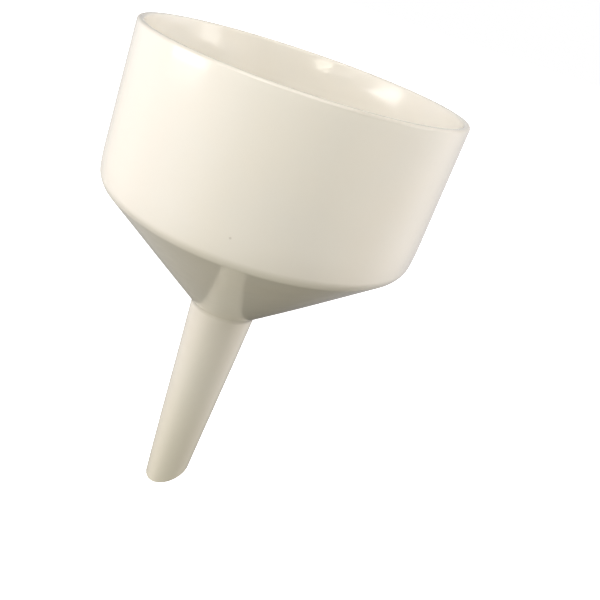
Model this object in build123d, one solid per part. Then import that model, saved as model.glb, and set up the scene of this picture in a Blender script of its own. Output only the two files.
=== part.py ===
from build123d import *
import os
from math import atan2, cos, degrees, radians, sin, tan

# Buchner funnel in glazed porcelain for 90 to 110 mm filter paper, as the potter assembles it:
# an upright bowl wall, a perforated plate, a cone and a tapered stem, joined by fillets of slip.
# Millimetres. +Z is the funnel's axis, from the stem to the rim. The origin is on the axis, at the
# level of the lowest point of the stem's slanted tip.

# Heights of the three stretches, from the tip upwards
stem_length = 88.0
cone_height = 41.0
bowl_height = 56.0

# Bowl wall and cone
rim_radius = 60.0
shoulder_radius = 59.3
wall_thickness = 4.0
cone_thickness = 4.0
shoulder_rounding = 5.5
rim_rounding = 1.0
lip_thickness = 2.4
lip_depth = 17.0

# Stem
stem_top_radius = 13.0
stem_end_radius = 8.1
stem_thickness = 3.0
tip_cut_angle = 32.0
tip_cut_heading = 25.0

# Perforated plate
plate_thickness = 5.0
hole_diameter = 1.8
hole_pitch = 6.5
hole_rings = 6
hole_phase = 7.5
glazed_shut_ring = 6
glazed_shut_heading = 237.5

# Slip fillets at the joints
plate_fillet_width = 2.4
plate_fillet_height = 3.0
plate_bevel = 1.0
underplate_fillet_width = 6.0
stem_fillet_width = 1.2
fillet_hollow = 0.75

# Levels and derived sizes
stem_top = stem_length
shoulder_level = stem_top + cone_height
rim_top = shoulder_level + bowl_height
plate_top = shoulder_level + plate_thickness
stem_bore_top = stem_top_radius - stem_thickness
cone_slope = cone_height / (shoulder_radius - stem_top_radius)
cone_angle = degrees(atan2(cone_height, shoulder_radius - stem_top_radius))
cone_lift = cone_thickness / cos(radians(cone_angle))


def wall_outer_radius(level):
    """Outer radius of the slightly flared bowl wall at a level."""
    share = (level - shoulder_level) / bowl_height
    return shoulder_radius + (rim_radius - shoulder_radius) * share


def wall_inner_radius(level):
    """Inner radius of the bowl wall at a level below the lip."""
    return wall_outer_radius(level) - wall_thickness


def cone_inner_radius(level):
    """Inner radius of the cone at a level."""
    return stem_top_radius + (level - stem_top - cone_lift) / cone_slope


def cone_inner_level(radius):
    """Level of the cone's inner surface at a radius."""
    return stem_top + cone_lift + (radius - stem_top_radius) * cone_slope


def turned(*section):
    """A solid of revolution about the axis, with a straight-sided section through the points."""
    with BuildPart() as solid:
        with BuildSketch(Plane.XZ):
            Polygon(*section, align=None)
        revolve(axis=Axis.Z)
    return solid.part


def bowl_and_cone():
    """The shell of wall and cone together: rounded shoulder, thinner lip, rounded rim."""
    rim_corner = (wall_outer_radius(rim_top), rim_top)
    lip_edge = (rim_radius - lip_thickness, rim_top)
    lip_foot = (wall_inner_radius(rim_top - lip_depth), rim_top - lip_depth)
    wall_direction = (rim_radius - shoulder_radius, bowl_height)
    cone_end = (stem_top_radius, stem_top)
    with BuildPart() as shell:
        with BuildSketch(Plane.XZ) as section:
            with BuildLine():
                FilletPolyline(
                    rim_corner,
                    (shoulder_radius, shoulder_level),
                    cone_end,
                    radius=shoulder_rounding,
                )
                Polyline(
                    cone_end,
                    (stem_bore_top, stem_top),
                    (stem_bore_top, cone_inner_level(stem_bore_top)),
                    (cone_inner_radius(shoulder_level), shoulder_level),
                    (wall_inner_radius(shoulder_level), shoulder_level),
                    lip_foot,
                )
                TangentArc(lip_foot, lip_edge, tangent=wall_direction)
                Line(lip_edge, rim_corner)
            make_face()
            fillet(section.vertices().group_by(Axis.Y)[-1], rim_rounding)
        revolve(axis=Axis.Z)
    return shell.part


def bowl_wall(shell):
    """The upright wall, which stands on the outer part of the cone's top edge."""
    return split(shell, Plane.XY.offset(shoulder_level), keep=Keep.TOP)


def cone(shell):
    """The cone, whose top edge also carries the plate on a narrow inner ledge."""
    return split(shell, Plane.XY.offset(shoulder_level), keep=Keep.BOTTOM)


def hole_places():
    """Centres of the drain holes: one in the middle and equal rings, less the one glazed shut."""
    places = [(0.0, 0.0)]
    for ring in range(1, hole_rings + 1):
        count = 6 * ring
        for step in range(count):
            heading = hole_phase + 360.0 / count * step
            if ring == glazed_shut_ring and abs(heading - glazed_shut_heading) < 180.0 / count:
                continue
            radius = ring * hole_pitch
            places.append((radius * cos(radians(heading)), radius * sin(radians(heading))))
    return places


def perforated_plate():
    """The filter plate, bevelled around its top edge where the slip fillet lies."""
    bevel_level = plate_top - plate_bevel
    flat_radius = wall_inner_radius(plate_top) - plate_fillet_width
    blank = turned(
        (0, shoulder_level),
        (wall_inner_radius(shoulder_level), shoulder_level),
        (wall_inner_radius(bevel_level), bevel_level),
        (flat_radius, plate_top),
        (0, plate_top),
    )
    with BuildPart() as plate:
        add(blank)
        with BuildSketch(Plane.XY.offset(shoulder_level)):
            with Locations(*hole_places()):
                Circle(hole_diameter / 2)
        extrude(amount=plate_thickness, mode=Mode.SUBTRACT)
    return plate.part


def fillet_ring(corner, corner_angle, first, last):
    """A ring of slip in a corner, hollow between its ends. The corner lies left of last to first.

    The hollow is a share of the one that would meet both sides of the corner at a tangent.
    """
    span = ((first[0] - last[0]) ** 2 + (first[1] - last[1]) ** 2) ** 0.5
    tangent_hollow = span * tan(radians(180.0 - corner_angle) / 4) / 2
    with BuildPart() as ring:
        with BuildSketch(Plane.XZ):
            with BuildLine():
                Polyline(first, corner, last)
                SagittaArc(last, first, fillet_hollow * tangent_hollow)
            make_face()
        revolve(axis=Axis.Z)
    return ring.part


def plate_fillet():
    """The visible slip fillet in the corner between the plate's top and the wall."""
    bevel_level = plate_top - plate_bevel
    bevel_corner = (wall_inner_radius(bevel_level), bevel_level)
    wall_level = plate_top + plate_fillet_height
    plate_end = (wall_inner_radius(plate_top) - plate_fillet_width, plate_top)
    wall_end = (wall_inner_radius(wall_level), wall_level)
    return fillet_ring(bevel_corner, 90.0, plate_end, wall_end)


def underplate_fillet():
    """The slip fillet under the plate, in the corner between the plate and the cone."""
    corner_radius = cone_inner_radius(shoulder_level)
    reach = underplate_fillet_width * cos(radians(cone_angle))
    drop = underplate_fillet_width * sin(radians(cone_angle))
    cone_end = (corner_radius - reach, shoulder_level - drop)
    plate_end = (corner_radius - underplate_fillet_width, shoulder_level)
    return fillet_ring((corner_radius, shoulder_level), cone_angle, cone_end, plate_end)


def stem_outer_radius(level):
    """Outer radius of the tapered stem at a level."""
    return stem_end_radius + (stem_top_radius - stem_end_radius) * level / stem_length


def stem_fillet():
    """The narrow line of slip, wiped flat, in the corner between the cone and the stem."""
    stem_level = stem_top - stem_fillet_width
    return turned(
        (stem_top_radius, stem_top),
        (stem_outer_radius(stem_level), stem_level),
        (stem_top_radius + stem_fillet_width, stem_top + stem_fillet_width * cone_slope),
    )


def stem():
    """The tapered tube, cut off at a slant so that drops leave from one point."""
    slope = tan(radians(tip_cut_angle))
    heading = radians(tip_cut_heading)
    cut = Plane(
        origin=(0, 0, slope * stem_end_radius),
        z_dir=(-slope * cos(heading), -slope * sin(heading), 1),
    )
    tube = turned(
        (stem_end_radius, 0),
        (stem_top_radius, stem_top),
        (stem_bore_top, stem_top),
        (stem_end_radius - stem_thickness, 0),
    )
    return split(tube, cut, keep=Keep.TOP)


def main():
    """Build every piece and write one STEP file for each."""
    shell = bowl_and_cone()
    pieces = {
        "bowl_wall": bowl_wall(shell),
        "perforated_plate": perforated_plate(),
        "plate_fillet": plate_fillet(),
        "underplate_fillet": underplate_fillet(),
        "cone": cone(shell),
        "stem": stem(),
        "stem_fillet": stem_fillet(),
    }
    os.makedirs("parts", exist_ok=True)
    for name, piece in pieces.items():
        export_step(piece, f"parts/{name}.step")


main()
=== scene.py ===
import math

import bpy
import numpy as np
from mathutils import Matrix, Vector, noise
from mathutils.geometry import delaunay_2d_cdt


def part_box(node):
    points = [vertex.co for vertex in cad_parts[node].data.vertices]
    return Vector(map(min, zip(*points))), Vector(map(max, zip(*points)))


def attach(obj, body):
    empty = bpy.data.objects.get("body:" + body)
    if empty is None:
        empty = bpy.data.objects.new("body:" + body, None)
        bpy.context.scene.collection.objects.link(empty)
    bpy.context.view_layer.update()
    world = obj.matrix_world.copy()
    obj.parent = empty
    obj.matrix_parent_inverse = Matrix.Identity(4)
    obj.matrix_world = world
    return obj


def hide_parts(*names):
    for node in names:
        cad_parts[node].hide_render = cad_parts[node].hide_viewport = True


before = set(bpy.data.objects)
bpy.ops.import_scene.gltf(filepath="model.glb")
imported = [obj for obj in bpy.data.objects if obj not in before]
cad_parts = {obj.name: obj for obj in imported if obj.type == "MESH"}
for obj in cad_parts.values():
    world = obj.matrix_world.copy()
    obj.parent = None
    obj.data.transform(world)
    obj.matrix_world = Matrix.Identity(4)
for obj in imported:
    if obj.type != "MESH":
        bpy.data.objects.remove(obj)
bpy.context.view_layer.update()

# Looks of the glazed porcelain Buchner funnel. Metres, in the CAD frame: +Z is the funnel's axis.

MM = 0.001

# Levels and radii that the CAD pieces' boxes give
wall_low, wall_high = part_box("bowl_wall")
cone_low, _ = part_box("cone")
_, plate_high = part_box("perforated_plate")
_, plate_fillet_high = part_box("plate_fillet")
_, stem_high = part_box("stem")
stem_fillet_low, stem_fillet_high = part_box("stem_fillet")

RIM_TOP = wall_high.z
RIM_RADIUS = wall_high.x
SHOULDER = wall_low.z
STEM_TOP = cone_low.z
STEM_RADIUS = stem_high.x
PLATE_TOP = plate_high.z
PLATE_FILLET_TOP = plate_fillet_high.z
STEM_FILLET_LOW = stem_fillet_low.z
STEM_FILLET_WIDTH = stem_fillet_high.x - STEM_RADIUS

# Sizes that the boxes don't give, as in the CAD model
SHOULDER_RADIUS = 59.3 * MM
SHOULDER_ROUNDING = 5.5 * MM
RIM_ROUNDING = 1.0 * MM
LIP_FLARE = 1.6 * MM
LIP_DEPTH = 17.0 * MM
WALL = 4.0 * MM
CONE_WALL = 4.0 * MM
STEM_WALL = 3.0 * MM
STEM_END_RADIUS = 8.1 * MM
TIP_CUT = math.tan(math.radians(32.0))
TIP_HEADING = math.radians(25.0)
PLATE_BEVEL = 1.0 * MM
PLATE_FILLET_WIDTH = 2.4 * MM
UNDERPLATE_FILLET_WIDTH = 6.0 * MM
HOLE_RADIUS = 0.9 * MM
HOLE_PITCH = 6.5 * MM
HOLE_RINGS = 6
HOLE_PHASE = 7.5
SHUT_HOLE_RING = 6
SHUT_HOLE_HEADING = 237.5

CONE_SLOPE = (SHOULDER - STEM_TOP) / (SHOULDER_RADIUS - STEM_RADIUS)
CONE_LIFT = CONE_WALL * math.hypot(1.0, CONE_SLOPE)
STEM_SLOPE = (STEM_RADIUS - STEM_END_RADIUS) / STEM_TOP

# What the hand and the kiln add: the wall's swelling, the bowl out of round, a tilt and a bend
BELLY = 0.64 * MM
BELLY_START = 10.5 * MM
OVAL = 0.0045
OVAL_HEADING = 0.15
LOBES = 0.0022
LOBES_PHASE = 1.1
SHOULDER_TILT = 0.5 * MM
STEM_BEND = 0.7 * MM
GLAZE_WAVE = 0.05 * MM
GLAZE_WAVE_SIZE = 14 * MM

# Waves on the thrown inside of the wall: depth, and width and height in millimetres
THROWN_DEPTH = 0.2 * MM
THROWN_WIDTH = 17
THROWN_HEIGHT = 7

# The glazed lips of the drain holes, with their rings of points, and the dimple of the shut one
HOLE_LIP = 0.42 * MM
HOLE_LIP_RINGS = (0.0, 0.03, 0.12, 0.24, 0.42, 0.62, 0.85, 1.15)
HOLE_POINTS = 22
SWELLING = 0.045 * MM
DIMPLE = 0.22 * MM

# Fineness of the meshes
SEGMENTS = 320
ARC_POINTS = 14
HOLLOW_POINTS = 18
GRID_SPACING = 1.5 * MM
GRID_REACH = 40


# ---------------------------------------------------------------- outlines

def wall_outer(level):
    """Outer radius of the bowl wall at a level."""
    share = (level - SHOULDER) / (RIM_TOP - SHOULDER)
    return SHOULDER_RADIUS + (RIM_RADIUS - SHOULDER_RADIUS) * share


def wall_inner(level):
    """Inner radius of the bowl wall at a level, before the lip's flare."""
    return wall_outer(level) - WALL


def lip_radius(level):
    """Inner radius of the wall, which thins towards the lip."""
    share = np.clip(1 - (RIM_TOP - level) / LIP_DEPTH, 0.0, 1.0)
    return wall_inner(level) + LIP_FLARE * share ** 1.5


def cone_inner(level):
    """Inner radius of the cone at a level."""
    return STEM_RADIUS + (level - STEM_TOP - CONE_LIFT) / CONE_SLOPE


def belly(level):
    """How far the wall's outside swells over the straight line: it draws in just above the shoulder."""
    share = np.clip((level - SHOULDER) / (RIM_TOP - SHOULDER), 0.0, 1.0)
    near = np.clip((level - SHOULDER) / BELLY_START, 0.0, 1.0)
    return BELLY * ((1 - share) - (1 - near) ** 2)


def rounded_corner(back, here, ahead, radius):
    """Points of the arc that rounds a corner between two neighbours."""
    u = (back - here) / np.linalg.norm(back - here)
    v = (ahead - here) / np.linalg.norm(ahead - here)
    half = math.acos(max(-1.0, min(1.0, float(u @ v)))) / 2
    start = here + u * radius / math.tan(half)
    stop = here + v * radius / math.tan(half)
    middle = here + (u + v) / np.linalg.norm(u + v) * radius / math.sin(half)
    sweep = math.pi - 2 * half
    arc = []
    for share in np.linspace(0.0, 1.0, ARC_POINTS):
        a = math.sin((1 - share) * sweep)
        b = math.sin(share * sweep)
        arc.append(middle + ((start - middle) * a + (stop - middle) * b) / math.sin(sweep))
    return arc


def outline(corners):
    """Points of a section through corners (radius, level, rounding, points on the run that follows)."""
    spots = [np.array(corner[:2], float) for corner in corners]
    ends = []
    for i, (_, _, rounding, _) in enumerate(corners):
        if rounding:
            ends.append(rounded_corner(spots[i - 1], spots[i], spots[(i + 1) % len(spots)], rounding))
        else:
            ends.append([spots[i]])
    points = []
    for i, (_, _, _, between) in enumerate(corners):
        points += ends[i]
        first = ends[i][-1]
        last = ends[(i + 1) % len(ends)][0]
        for share in np.linspace(0.0, 1.0, between + 2)[1:-1]:
            points.append(first + (last - first) * share)
    return np.array(points)


def outer_line():
    """The outside from the stem's top over the shoulder to just under the rim."""
    end = RIM_TOP - 3 * MM
    line = outline([
        (STEM_RADIUS, STEM_TOP, 0.0, 44),
        (SHOULDER_RADIUS, SHOULDER, SHOULDER_ROUNDING, 42),
        (wall_outer(end), end, 0.0, 0),
    ])
    line[:, 0] += belly(line[:, 1])
    return line


def split_outer_line():
    """The outside line below and above the seam between cone and wall; both hold the seam's point."""
    line = outer_line()
    k = int(np.argmax(line[:, 1] > SHOULDER))
    share = (SHOULDER - line[k - 1, 1]) / (line[k, 1] - line[k - 1, 1])
    seam = line[k - 1] + (line[k] - line[k - 1]) * share
    return np.vstack([line[:k], seam]), np.vstack([seam, line[k:]])


# ---------------------------------------------------------------- hand-made shape

def eased(value, low, high):
    """0 below low, 1 above high and smooth between."""
    share = np.clip((value - low) / (high - low), 0.0, 1.0)
    return share * share * (3 - 2 * share)


def hand_made(co):
    """Moves points as a thrown and fired funnel departs from the round: all pieces share it."""
    x, y, z = co[:, 0], co[:, 1], co[:, 2]
    heading = np.arctan2(y, x)
    bowl = 0.25 + 0.75 * eased(z, SHOULDER, RIM_TOP)
    bowl = bowl * eased(z, STEM_TOP, SHOULDER)
    oval = 0.5 - 0.5 * np.cos(2 * (heading - OVAL_HEADING))
    lobes = 0.5 - 0.5 * np.cos(3 * heading - LOBES_PHASE)
    squeeze = 1 - bowl * (OVAL * oval + LOBES * lobes)
    across = x / SHOULDER_RADIUS
    front = -y / SHOULDER_RADIUS
    lean = SHOULDER_TILT * (across * (1 + across) + front) * eased(z, STEM_TOP, SHOULDER)
    lean = lean * (1 - eased(z, SHOULDER, RIM_TOP))
    bend = STEM_BEND * (1 - eased(z, 0.0, STEM_TOP))
    return np.stack([x * squeeze - bend, y * squeeze, z + lean], axis=1)


def glaze_waves(co, depth):
    """Small in and out moves of a glazed surface, along the radius."""
    moved = co.copy()
    for i, (x, y, z) in enumerate(co):
        radius = math.hypot(x, y)
        wave = noise.noise(Vector((x, y, z)) / GLAZE_WAVE_SIZE) - 0.5
        moved[i, 0] += x / radius * wave * depth
        moved[i, 1] += y / radius * wave * depth
    return moved


def throwing_waves(co):
    """Soft rings and lumps that the potter's hand left on the inside of the wall."""
    moved = co.copy()
    radius = np.hypot(co[:, 0], co[:, 1])
    depth = THROWN_DEPTH * eased(co[:, 2], PLATE_TOP, RIM_TOP - 12 * MM)
    depth = depth * (1 - eased(radius, 56.9 * MM, 57.9 * MM))
    for i in np.nonzero(depth)[0]:
        x, y, z = co[i]
        wave = noise.noise(Vector((x / THROWN_WIDTH, y / THROWN_WIDTH, z / THROWN_HEIGHT)) / MM)
        moved[i, 0] += x / radius[i] * wave * depth[i]
        moved[i, 1] += y / radius[i] * wave * depth[i]
    return moved


# ---------------------------------------------------------------- mesh building

def new_piece(name, body, slot, material, *nodes):
    """Makes a piece from a body's vertices and faces, smooth shaded, in place of the CAD nodes."""
    vertices, faces = body
    mesh = bpy.data.meshes.new(name)
    mesh.from_pydata([tuple(v) for v in vertices], [], faces)
    mesh.validate()
    mesh.polygons.foreach_set("use_smooth", [True] * len(mesh.polygons))
    mesh.set_sharp_from_angle(angle=math.radians(38.0))
    mesh.materials.append(material)
    piece = bpy.data.objects.new(name, mesh)
    bpy.context.scene.collection.objects.link(piece)
    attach(piece, "root")
    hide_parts(*nodes)


def turned(section, wave=0.0, thrown=False):
    """Vertices and faces of a closed section turned about the axis. section(heading) gives it."""
    rows = []
    for k in range(SEGMENTS):
        heading = 2 * math.pi * k / SEGMENTS
        points = section(heading)
        rows.append(np.stack([
            points[:, 0] * math.cos(heading),
            points[:, 0] * math.sin(heading),
            points[:, 1],
        ], axis=1))
    count = len(rows[0])
    co = np.vstack(rows)
    if wave:
        co = glaze_waves(co, wave)
    if thrown:
        co = throwing_waves(co)
    faces = []
    for k in range(SEGMENTS):
        here = k * count
        there = (k + 1) % SEGMENTS * count
        for i in range(count):
            j = (i + 1) % count
            faces.append((here + i, there + i, there + j, here + j))
    return hand_made(co), faces


# ---------------------------------------------------------------- the perforated plate

def hole_places():
    """Centres of the open drain holes, and that of the one glazed shut."""
    places = [(0.0, 0.0)]
    shut = None
    for ring in range(1, HOLE_RINGS + 1):
        for step in range(6 * ring):
            degrees = HOLE_PHASE + 60.0 / ring * step
            spot = (
                ring * HOLE_PITCH * math.cos(math.radians(degrees)),
                ring * HOLE_PITCH * math.sin(math.radians(degrees)),
            )
            if ring == SHUT_HOLE_RING and abs(degrees - SHUT_HOLE_HEADING) < 30.0 / ring:
                shut = spot
            else:
                places.append(spot)
    return places, shut


def lip_height(distance):
    """Height of the glazed top around a hole: rounded into it, with a slight swelling round it."""
    out = np.maximum(distance - HOLE_RADIUS, 0.0)
    into = np.clip(HOLE_LIP - out, 0.0, HOLE_LIP)
    rounding = -(HOLE_LIP - np.sqrt(np.maximum(HOLE_LIP ** 2 - into ** 2, 0.0)))
    swelling = SWELLING * np.exp(-((out - 0.55 * MM) / (0.32 * MM)) ** 2)
    return rounding + swelling


def plate_top_height(x, y, places, shut):
    """Height of the plate's glazed top over its level, at each point."""
    nearest = np.full(len(x), 1.0)
    for px, py in places:
        nearest = np.minimum(nearest, np.hypot(x - px, y - py))
    height = np.where(nearest < 3 * MM, lip_height(nearest), 0.0)
    dimple = np.hypot(x - shut[0], y - shut[1])
    height -= DIMPLE * np.exp(-(dimple / (0.75 * MM)) ** 2)
    edge = eased(np.hypot(x, y), 30 * MM, 52 * MM)
    waves = [noise.noise(Vector((a, b, 0.0)) / (9 * MM)) for a, b in zip(x, y)]
    return height + np.array(waves) * 0.05 * MM * (0.5 + 0.5 * edge)


def circle(x, y, radius, count):
    """Points round a circle."""
    points = []
    for k in range(count):
        heading = 2 * math.pi * k / count
        points.append((x + radius * math.cos(heading), y + radius * math.sin(heading)))
    return points


def loop_edges(start, count):
    """Edges of a closed loop of neighbouring points."""
    return [(start + k, start + (k + 1) % count) for k in range(count)]


def grid_points(holes, flat):
    """Points of an even grid over the plate, clear of its edge and of the holes' rings."""
    points = []
    for row in range(-GRID_REACH, GRID_REACH + 1):
        for column in range(-GRID_REACH, GRID_REACH + 1):
            x = (column + 0.5 * (row % 2)) * GRID_SPACING
            y = row * GRID_SPACING * math.sqrt(0.75)
            if math.hypot(x, y) > flat - 0.8 * MM:
                continue
            if min(math.hypot(x - px, y - py) for px, py in holes) < 2.6 * MM:
                continue
            points.append((x, y))
    return points


def plate_plan(places, shut, flat):
    """Points and triangles of the plate's top in plan, open at the drain holes."""
    points = circle(0.0, 0.0, flat, SEGMENTS)
    edges = loop_edges(0, SEGMENTS)
    for x, y in places + [shut]:
        for out in HOLE_LIP_RINGS:
            if out == 0.0 and (x, y) != shut:
                edges += loop_edges(len(points), HOLE_POINTS)
            points += circle(x, y, HOLE_RADIUS + out * MM, HOLE_POINTS)
    points += grid_points(places + [shut], flat)
    co, _, triangles, _, _, _ = delaunay_2d_cdt([Vector(p) for p in points], edges, [], 0, 1e-7)
    xy = np.array([(p.x, p.y) for p in co])
    kept = []
    for triangle in triangles:
        x, y = xy[list(triangle)].mean(axis=0)
        if all(math.hypot(x - px, y - py) > HOLE_RADIUS * 0.995 for px, py in places):
            kept.append(tuple(triangle))
    return xy, kept


def border_edges(triangles):
    """Edges that only one triangle has, in that triangle's direction."""
    borders = {}
    for triangle in triangles:
        for i in range(3):
            a = triangle[i]
            b = triangle[(i + 1) % 3]
            if (b, a) in borders:
                del borders[(b, a)]
            else:
                borders[(a, b)] = True
    return list(borders)


def band(first, second):
    """Faces between two loops of as many points."""
    faces = []
    for k in range(len(first)):
        m = (k + 1) % len(first)
        faces.append((first[m], first[k], second[k], second[m]))
    return faces


def plate_mesh():
    """Vertices and faces of the perforated plate, as one closed body."""
    places, shut = hole_places()
    flat = wall_inner(PLATE_TOP) - PLATE_FILLET_WIDTH
    xy, triangles = plate_plan(places, shut, flat)
    count = len(xy)
    top = PLATE_TOP + plate_top_height(xy[:, 0], xy[:, 1], places, shut)
    vertices = [np.column_stack([xy, top]), np.column_stack([xy, np.full(count, SHOULDER)])]
    faces = triangles + [tuple(i + count for i in reversed(face)) for face in triangles]
    outer = {}
    for a, b in border_edges(triangles):
        if min(math.hypot(*xy[a]), math.hypot(*xy[b])) > flat - 0.1 * MM:
            outer[a] = b
        else:
            faces.append((b, a, a + count, b + count))
    loop = [next(iter(outer))]
    while outer[loop[-1]] != loop[0]:
        loop.append(outer[loop[-1]])
    previous = loop
    offset = 2 * count
    for level in (PLATE_TOP - PLATE_BEVEL, SHOULDER):
        ring = []
        for a in loop:
            scale = wall_inner(level) / math.hypot(*xy[a])
            ring.append((xy[a][0] * scale, xy[a][1] * scale, level))
        vertices.append(np.array(ring))
        current = list(range(offset, offset + len(loop)))
        faces += band(previous, current)
        previous = current
        offset += len(loop)
    faces += band(previous, [a + count for a in loop])
    return hand_made(np.vstack(vertices)), faces


# ---------------------------------------------------------------- sections of the turned pieces

def wall_section(_):
    """The bowl wall: seam, outside, rounded rim, inside."""
    _, above = split_outer_line()
    low = RIM_TOP - 2.5 * MM
    crest = outline([
        (wall_outer(low), low, 0.0, 0),
        (wall_outer(RIM_TOP), RIM_TOP, RIM_ROUNDING, 2),
        (lip_radius(RIM_TOP), RIM_TOP, RIM_ROUNDING, 0),
        (lip_radius(low), low, 0.0, 0),
    ])
    levels = np.linspace(low, SHOULDER, 64)
    inside = np.column_stack([lip_radius(levels), levels])
    return np.vstack([above, crest[:-1], inside])


def cone_section(_):
    """The cone: outside up to the seam, the ledge, inside, and the end that meets the stem."""
    below, _ = split_outer_line()
    throat = STEM_RADIUS - STEM_WALL
    throat_level = STEM_TOP + CONE_LIFT + (throat - STEM_RADIUS) * CONE_SLOPE
    rest = outline([
        (below[-1][0], SHOULDER, 0.0, 2),
        (cone_inner(SHOULDER), SHOULDER, 0.0, 40),
        (throat, throat_level, 1.5 * MM, 1),
        (throat, STEM_TOP, 0.0, 2),
    ])[1:]
    return np.vstack([below, rest])


def stem_section(heading):
    """The stem at a heading: outside down to the slanted tip, its rounded lip, and the bore."""
    level = TIP_CUT * STEM_END_RADIUS - 0.6 * MM
    lean = TIP_CUT * math.cos(heading - TIP_HEADING)
    bore_end = STEM_END_RADIUS - STEM_WALL
    low_outer = (level + lean * STEM_END_RADIUS) / (1 - lean * STEM_SLOPE)
    low_inner = (level + lean * bore_end) / (1 - lean * STEM_SLOPE)
    return outline([
        (STEM_RADIUS, STEM_TOP, 0.0, 50),
        (STEM_END_RADIUS + STEM_SLOPE * low_outer, low_outer, 0.9 * MM, 1),
        (bore_end + STEM_SLOPE * low_inner, low_inner, 0.7 * MM, 30),
        (STEM_RADIUS - STEM_WALL, STEM_TOP, 0.0, 1),
    ])


def hollow(first, corner, last, depth):
    """Section of a fillet of slip: its corner, and a hollow face of that depth between its ends."""
    first, corner, last = (np.array(p, float) for p in (first, corner, last))
    inward = corner - (first + last) / 2
    inward = inward / np.linalg.norm(inward)
    face = []
    for share in np.linspace(0.0, 1.0, HOLLOW_POINTS):
        face.append(first + (last - first) * share + inward * depth * 4 * share * (1 - share))
    return np.vstack([face, corner])


def plate_fillet_section(_):
    """The fillet between the plate's top and the wall."""
    bevel = PLATE_TOP - PLATE_BEVEL
    return hollow(
        (wall_inner(PLATE_FILLET_TOP), PLATE_FILLET_TOP),
        (wall_inner(bevel), bevel),
        (wall_inner(PLATE_TOP) - PLATE_FILLET_WIDTH, PLATE_TOP),
        0.62 * MM,
    )


def underplate_fillet_section(_):
    """The fillet between the plate's underside and the cone."""
    corner = cone_inner(SHOULDER)
    drop = UNDERPLATE_FILLET_WIDTH * math.sin(math.atan(CONE_SLOPE))
    reach = UNDERPLATE_FILLET_WIDTH * math.cos(math.atan(CONE_SLOPE))
    return hollow(
        (corner - UNDERPLATE_FILLET_WIDTH, SHOULDER),
        (corner, SHOULDER),
        (corner - reach, SHOULDER - drop),
        1.0 * MM,
    )


def stem_fillet_section(_):
    """The line of slip between cone and stem."""
    return hollow(
        (STEM_END_RADIUS + STEM_SLOPE * STEM_FILLET_LOW, STEM_FILLET_LOW),
        (STEM_RADIUS, STEM_TOP),
        (STEM_RADIUS + STEM_FILLET_WIDTH, STEM_TOP + STEM_FILLET_WIDTH * CONE_SLOPE),
        0.2 * MM,
    )


# ---------------------------------------------------------------- materials

BODY = (0.855, 0.822, 0.755, 1.0)
WARM = (0.86, 0.822, 0.745, 1.0)
COOL = (0.845, 0.822, 0.765, 1.0)
# Painted shade down the stem, darker towards its tip
STEM_SHADE = (0.755, 0.72, 0.61, 1.0)
# Darker tint of the rim's crest: thin glaze, and in part painted shade that dims the crest
BARE_AND_SHADE = (0.66, 0.62, 0.54, 1.0)
PIT = (0.16, 0.12, 0.085, 1.0)
PINHOLE = (-4.5 * MM, -59.3 * MM, 138.2 * MM)

# Relief of the glaze: scale, detail and height of each layer
RELIEF = (
    (75.0, 2.0, 0.10 * MM),
    (210.0, 1.0, 0.02 * MM),
    (520.0, 2.0, 0.006 * MM),
)


class Nodes:
    """Short calls for building a node tree."""

    def __init__(self, tree):
        self.tree = tree

    def put(self, socket, value):
        """Links a value's output to the socket, or sets the socket to a plain value."""
        if isinstance(value, bpy.types.NodeSocket):
            self.tree.links.new(value, socket)
        else:
            socket.default_value = value

    def add(self, kind, **inputs):
        node = self.tree.nodes.new(kind)
        for name, value in inputs.items():
            self.put(node.inputs[name.replace("_", " ")], value)
        return node

    def math(self, operation, a, b=0.0):
        node = self.tree.nodes.new("ShaderNodeMath")
        node.operation = operation
        self.put(node.inputs[0], a)
        self.put(node.inputs[1], b)
        return node.outputs[0]

    def vector(self, operation, a, b):
        node = self.tree.nodes.new("ShaderNodeVectorMath")
        node.operation = operation
        self.put(node.inputs[0], a)
        self.put(node.inputs[1], b)
        return node.outputs["Value"]

    def ramp(self, value, low, high, start=0.0, stop=1.0):
        node = self.tree.nodes.new("ShaderNodeMapRange")
        node.interpolation_type = "SMOOTHSTEP"
        self.put(node.inputs["Value"], value)
        self.put(node.inputs["From Min"], low)
        self.put(node.inputs["From Max"], high)
        self.put(node.inputs["To Min"], start)
        self.put(node.inputs["To Max"], stop)
        return node.outputs["Result"]

    def mix(self, factor, a, b):
        node = self.tree.nodes.new("ShaderNodeMix")
        node.data_type = "RGBA"
        first, second = [socket for socket in node.inputs if socket.type == "RGBA"]
        self.put(node.inputs["Factor"], factor)
        self.put(first, a)
        self.put(second, b)
        return [socket for socket in node.outputs if socket.type == "RGBA"][0]

    def noise(self, place, scale, detail=2.0):
        return self.add("ShaderNodeTexNoise", Vector=place, Scale=scale, Detail=detail).outputs["Fac"]


def spots(nodes, place, scale, radius, share):
    """A mask of small round spots, in some of the cells of a pattern."""
    cells = nodes.add("ShaderNodeTexVoronoi", Vector=place, Scale=scale)
    near = nodes.ramp(cells.outputs["Distance"], radius * 0.6, radius, 1.0, 0.0)
    chosen = nodes.add("ShaderNodeSeparateColor", Color=cells.outputs["Color"])
    return nodes.math("MULTIPLY", near, nodes.math("LESS_THAN", chosen.outputs["Red"], share))


def mottled(nodes, place):
    """Warm white that wanders slowly between a cooler and a warmer one."""
    slow = nodes.ramp(nodes.noise(place, 26.0, 3.0), 0.3, 0.7)
    fine = nodes.ramp(nodes.noise(place, 190.0, 3.0), 0.35, 0.75)
    return nodes.mix(nodes.math("MULTIPLY", fine, 0.35), nodes.mix(slow, COOL, WARM), BODY)


def axis_distance(nodes, parts):
    """Distance from the funnel's axis."""
    x_squared = nodes.math("POWER", parts.outputs["X"], 2.0)
    y_squared = nodes.math("POWER", parts.outputs["Y"], 2.0)
    return nodes.math("SQRT", nodes.math("ADD", x_squared, y_squared))


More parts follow.
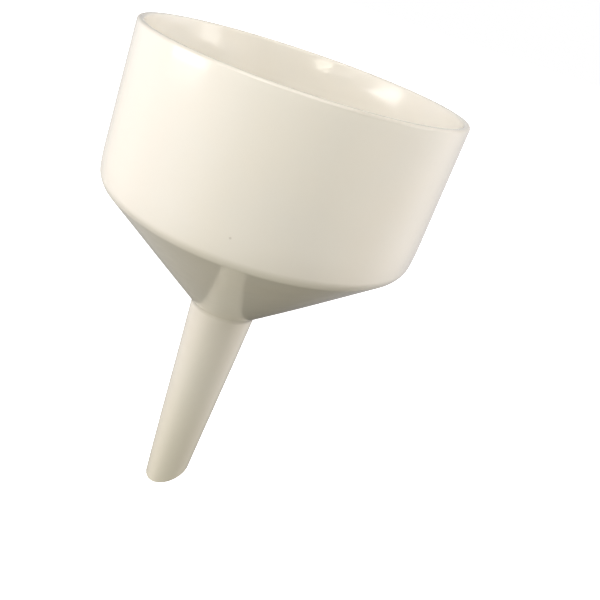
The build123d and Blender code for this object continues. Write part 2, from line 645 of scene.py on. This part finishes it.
def bare_and_shaded_rim(nodes, place, parts):
    """A mask of the outer side of the rim's crest, where the glaze is thin; the darker tint there is
    partly painted shade.
    """
    wander = nodes.math("MULTIPLY", nodes.noise(place, 60.0), 0.8 * MM)
    level = nodes.math("ADD", parts.outputs["Z"], wander)
    high = nodes.ramp(level, RIM_TOP - 1.0 * MM, RIM_TOP + 0.6 * MM)
    radius = axis_distance(nodes, parts)
    return nodes.math("MULTIPLY", high, nodes.ramp(radius, RIM_RADIUS - 2.2 * MM, RIM_RADIUS - 0.7 * MM))


def stippling(nodes, place, parts, depth):
    """Fine stippling of the plate's middle, where the holes are."""
    inner = nodes.ramp(axis_distance(nodes, parts), 47 * MM, 38 * MM)
    return nodes.math("MULTIPLY", nodes.math("MULTIPLY", nodes.noise(place, 900.0), inner), depth)


def relief(nodes, place):
    """Height of the rippled glaze: the layers added up."""
    total = None
    for scale, detail, depth in RELIEF:
        layer = nodes.math("MULTIPLY", nodes.noise(place, scale, detail), depth)
        total = layer if total is None else nodes.math("ADD", total, layer)
    return total


def glaze(name, peel=0.0, rim=False, tip=False):
    """Warm white glaze: slow mottling, pinholes, a rippled surface and uneven gloss.

    peel is the depth of stippling. rim thins the glaze on the rim's crest and darkens it, partly as
    painted shade; tip paints shade down the stem, darker towards the tip.
    """
    material = bpy.data.materials.new(name)
    material.use_nodes = True
    tree = material.node_tree
    tree.nodes.clear()
    nodes = Nodes(tree)
    place = nodes.add("ShaderNodeTexCoord").outputs["Object"]
    parts = nodes.add("ShaderNodeSeparateXYZ", Vector=place)
    colour = mottled(nodes, place)
    pits = spots(nodes, place, 75.0, 0.024, 0.10)
    height = relief(nodes, place)
    gloss = nodes.ramp(nodes.noise(place, 40.0, 3.0), 0.3, 0.7, 0.09, 0.15)
    if rim:
        bare_and_shade = bare_and_shaded_rim(nodes, place, parts)
        # The rim's crest made darker: thin glaze, and in part painted shade
        colour = nodes.mix(nodes.math("MULTIPLY", bare_and_shade, 0.9), colour, BARE_AND_SHADE)
        gloss = nodes.math("ADD", gloss, nodes.math("MULTIPLY", bare_and_shade, 0.06))
        away = nodes.vector("DISTANCE", place, PINHOLE)
        pits = nodes.math("MAXIMUM", pits, nodes.ramp(away, 0.2 * MM, 0.7 * MM, 0.5, 0.0))
    if tip:
        # Painted shade: the stem darkens towards its tip
        colour = nodes.mix(nodes.ramp(parts.outputs["Z"], 85 * MM, 5 * MM, 0.25, 0.9), colour, STEM_SHADE)
    if peel:
        height = nodes.math("ADD", height, stippling(nodes, place, parts, peel))
    colour = nodes.mix(nodes.math("MULTIPLY", pits, 0.7), colour, PIT)
    height = nodes.math("SUBTRACT", height, nodes.math("MULTIPLY", pits, 0.15 * MM))
    bump = nodes.add("ShaderNodeBump", Height=height, Strength=1.0, Distance=1.0)
    shader = nodes.add(
        "ShaderNodeBsdfPrincipled",
        Base_Color=colour,
        Roughness=gloss,
        Normal=bump.outputs["Normal"],
        IOR=1.55,
    )
    nodes.add("ShaderNodeOutputMaterial", Surface=shader.outputs["BSDF"])
    return material


def floor_paint():
    """Plain pale floor."""
    material = bpy.data.materials.new("pale_floor")
    material.use_nodes = True
    shader = material.node_tree.nodes["Principled BSDF"]
    shader.inputs["Base Color"].default_value = (0.93, 0.93, 0.93, 1.0)
    shader.inputs["Roughness"].default_value = 0.9
    shader.inputs["Emission Color"].default_value = (1.0, 1.0, 1.0, 1.0)
    shader.inputs["Emission Strength"].default_value = 1.0
    return material


# ---------------------------------------------------------------- camera, floor and light

CAMERA_PLACE = (0.0, -0.2569, RIM_TOP + 0.0289)
CAMERA_YAW = -0.012
CAMERA_PITCH = 0.354
CAMERA_ROLL = 0.326
FLOOR_HALF = 30.0
FLOOR_LEVEL = -0.30

# Soft glows of the studio's walls and ceiling: heading, elevation, half width, strength, colour
GLOWS = (
    (0, 90, 60, 0.42, (1.0, 0.96, 0.98)),
    (50, 5, 60, 0.11, (1.0, 0.96, 0.90)),
    (90, 6, 60, 1.25, (1.0, 0.93, 0.87)),
    (135, 5, 60, 0.86, (1.0, 0.97, 0.97)),
    (225, 5, 60, 0.50, (0.96, 0.96, 1.0)),
    (225, -25, 50, 0.38, (1.0, 0.97, 0.87)),
    (270, 0, 60, 0.38, (1.0, 0.95, 1.0)),
    (290, -20, 50, 0.66, (1.0, 0.90, 0.84)),
    (315, -35, 50, 0.15, (1.0, 0.95, 0.78)),
    (335, -62, 60, 0.56, (1.0, 0.98, 0.72)),
    (290, 6.5, 17, 3.30, (1.0, 0.96, 0.93)),
    (83, 7, 13, 2.80, (1.0, 0.96, 0.90)),
)

# Soft lamps: name, heading, elevation, distance, width, height, power, colour
LAMPS = (
    ("front", 0, 52, 0.45, 0.4, 0.4, 0.95, (0.99, 1.0, 0.95)),
    ("front_left", 320, 40, 0.45, 0.3, 0.3, 0.51, (1.0, 0.95, 0.89)),
    ("left", 291, 7, 0.5, 0.25, 0.15, 0.46, (1.0, 0.97, 0.98)),
    ("small", 348, 15.5, 1.0, 0.26, 0.03, 0.28, (1.0, 0.97, 0.85)),
)
LAMPS_AIM = (0.0, 0.0, 0.12)


def make_camera():
    """The photograph's view: from the side and a little above, close, and rolled."""
    level = math.cos(CAMERA_PITCH)
    forward = Vector((math.sin(CAMERA_YAW) * level, math.cos(CAMERA_YAW) * level, -math.sin(CAMERA_PITCH)))
    right = forward.cross(Vector((0.0, 0.0, 1.0))).normalized()
    up = right.cross(forward)
    across = right * math.cos(CAMERA_ROLL) + up * math.sin(CAMERA_ROLL)
    over = up * math.cos(CAMERA_ROLL) - right * math.sin(CAMERA_ROLL)
    data = bpy.data.cameras.new("camera")
    data.sensor_width = 36.0
    data.lens = 43.2
    data.shift_x = 0.10
    data.shift_y = -0.113
    data.clip_start = 0.01
    data.clip_end = 50.0
    camera = bpy.data.objects.new("camera", data)
    bpy.context.scene.collection.objects.link(camera)
    turn = Matrix((across, over, -forward)).transposed().to_4x4()
    camera.matrix_world = Matrix.Translation(CAMERA_PLACE) @ turn
    bpy.context.scene.camera = camera


def make_floor():
    """A wide plane, well below the funnel, which throws no light on it."""
    mesh = bpy.data.meshes.new("floor")
    corners = [
        (-FLOOR_HALF, -FLOOR_HALF, FLOOR_LEVEL),
        (FLOOR_HALF, -FLOOR_HALF, FLOOR_LEVEL),
        (FLOOR_HALF, FLOOR_HALF, FLOOR_LEVEL),
        (-FLOOR_HALF, FLOOR_HALF, FLOOR_LEVEL),
    ]
    mesh.from_pydata(corners, [], [(0, 1, 2, 3)])
    mesh.materials.append(floor_paint())
    floor = bpy.data.objects.new("floor", mesh)
    bpy.context.scene.collection.objects.link(floor)
    floor.visible_diffuse = False
    floor.visible_glossy = False


def toward(heading, elevation):
    """Direction at a heading, counted from the camera's side towards the right, and an elevation."""
    heading = math.radians(heading)
    elevation = math.radians(elevation)
    across = math.cos(elevation)
    return Vector((math.sin(heading) * across, -math.cos(heading) * across, math.sin(elevation)))


def add_shaders(nodes, first, second):
    """Output of the sum of two shaders."""
    node = nodes.tree.nodes.new("ShaderNodeAddShader")
    nodes.put(node.inputs[0], first)
    nodes.put(node.inputs[1], second)
    return node.outputs[0]


def make_world():
    """White to the camera; dark with soft glows for the light that falls on the funnel."""
    world = bpy.data.worlds.new("studio")
    world.use_nodes = True
    bpy.context.scene.world = world
    world.node_tree.nodes.clear()
    nodes = Nodes(world.node_tree)
    place = nodes.add("ShaderNodeTexCoord").outputs["Generated"]
    total = None
    for heading, elevation, width, strength, colour in GLOWS:
        nearness = nodes.vector("DOT_PRODUCT", place, toward(heading, elevation))
        share = nodes.ramp(nearness, math.cos(math.radians(width)), 1.0, 0.0, strength)
        glow = nodes.add("ShaderNodeBackground", Color=(*colour, 1.0), Strength=share).outputs[0]
        total = glow if total is None else add_shaders(nodes, total, glow)
    white = nodes.add("ShaderNodeBackground", Color=(1.0, 1.0, 1.0, 1.0), Strength=1.0).outputs[0]
    seen = nodes.tree.nodes.new("ShaderNodeMixShader")
    nodes.put(seen.inputs[0], nodes.add("ShaderNodeLightPath").outputs["Is Camera Ray"])
    nodes.put(seen.inputs[1], total)
    nodes.put(seen.inputs[2], white)
    nodes.add("ShaderNodeOutputWorld", Surface=seen.outputs[0])


def make_lamps():
    """Soft rectangular lamps in front and at the left, which all look at the funnel's middle."""
    aim = Vector(LAMPS_AIM)
    for name, heading, elevation, distance, width, height, power, colour in LAMPS:
        data = bpy.data.lights.new(name, "AREA")
        data.shape = "RECTANGLE"
        data.size = width
        data.size_y = height
        data.color = colour
        data.energy = power
        lamp = bpy.data.objects.new(name, data)
        bpy.context.scene.collection.objects.link(lamp)
        place = aim + toward(heading, elevation) * distance
        lamp.location = place
        lamp.rotation_euler = (aim - place).to_track_quat("-Z", "Y").to_euler()


# ---------------------------------------------------------------- making everything

PORCELAIN = "glazed_porcelain"
plain = glaze("porcelain_glaze")
wall_glaze = glaze("wall_glaze", rim=True)
plate_glaze = glaze("plate_glaze", peel=0.03 * MM)
stem_glaze = glaze("stem_glaze", tip=True)

wall_body = turned(wall_section, GLAZE_WAVE, thrown=True)
new_piece("glazed_wall", wall_body, PORCELAIN, wall_glaze, "bowl_wall")
new_piece("glazed_cone", turned(cone_section, GLAZE_WAVE), PORCELAIN, plain, "cone")
new_piece("glazed_stem", turned(stem_section, GLAZE_WAVE), PORCELAIN, stem_glaze, "stem")
new_piece("slip_at_plate", turned(plate_fillet_section), PORCELAIN, plain, "plate_fillet")
new_piece("slip_under_plate", turned(underplate_fillet_section), PORCELAIN, plain, "underplate_fillet")
new_piece("slip_at_stem", turned(stem_fillet_section), PORCELAIN, plain, "stem_fillet")
new_piece("glazed_plate", plate_mesh(), "glazed_plate", plate_glaze, "perforated_plate")

make_camera()
make_floor()
make_world()
make_lamps()
bpy.context.scene.view_settings.view_transform = "Standard"
